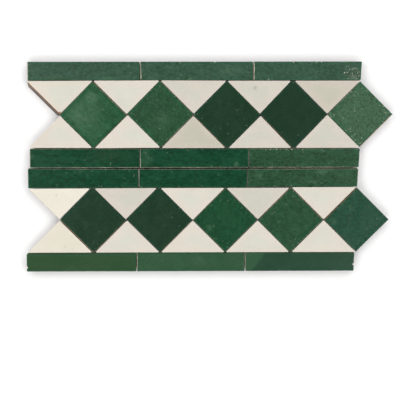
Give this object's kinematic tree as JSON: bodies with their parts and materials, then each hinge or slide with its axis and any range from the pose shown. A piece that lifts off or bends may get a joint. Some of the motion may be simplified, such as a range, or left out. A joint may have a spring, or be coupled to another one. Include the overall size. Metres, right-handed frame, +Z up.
{
  "type": "linear border tile",
  "caption": "Flat border panel of hand-cut glazed tiles: green squares on their corners between ivory triangles, edged by rows of green strips.",
  "frame": {"origin": "middle of the panel's outline, on the plane of the tiles' backs", "axes": "+X along the border towards the end where a square's corner stands out, +Y from the lower course to the upper one, +Z up and out of the glazed faces"},
  "size_m": [0.5014, 0.2866, 0.012],
  "materials": {
    "green_glaze": "dark green hand-brushed glaze, satin, on terracotta",
    "ivory_glaze": "warm ivory glaze, satin, on terracotta"
  },
  "bodies": {
    "root": {"upper_head_strip_1": "green_glaze", "upper_head_strip_2": "green_glaze", "upper_head_strip_3": "green_glaze", "upper_foot_strip_1": "green_glaze", "upper_foot_strip_2": "green_glaze", "upper_foot_strip_3": "green_glaze", "upper_square_1": "green_glaze", "upper_square_2": "green_glaze", "upper_square_3": "green_glaze", "upper_square_4": "green_glaze", "upper_square_5": "green_glaze", "upper_head_triangle_1": "ivory_glaze", "upper_head_triangle_2": "ivory_glaze", "upper_head_triangle_3": "ivory_glaze", "upper_head_triangle_4": "ivory_glaze", "upper_head_triangle_5": "ivory_glaze", "upper_foot_triangle_1": "ivory_glaze", "upper_foot_triangle_2": "ivory_glaze", "upper_foot_triangle_3": "ivory_glaze", "upper_foot_triangle_4": "ivory_glaze", "upper_foot_triangle_5": "ivory_glaze", "lower_head_strip_1": "green_glaze", "lower_head_strip_2": "green_glaze", "lower_head_strip_3": "green_glaze", "lower_foot_strip_1": "green_glaze", "lower_foot_strip_2": "green_glaze", "lower_foot_strip_3": "green_glaze", "lower_square_1": "green_glaze", "lower_square_2": "green_glaze", "lower_square_3": "green_glaze", "lower_square_4": "green_glaze", "lower_square_5": "green_glaze", "lower_head_triangle_1": "ivory_glaze", "lower_head_triangle_2": "ivory_glaze", "lower_head_triangle_3": "ivory_glaze", "lower_head_triangle_4": "ivory_glaze", "lower_head_triangle_5": "ivory_glaze", "lower_foot_triangle_1": "ivory_glaze", "lower_foot_triangle_2": "ivory_glaze", "lower_foot_triangle_3": "ivory_glaze", "lower_foot_triangle_4": "ivory_glaze", "lower_foot_triangle_5": "ivory_glaze"}
  },
  "joints": []
}
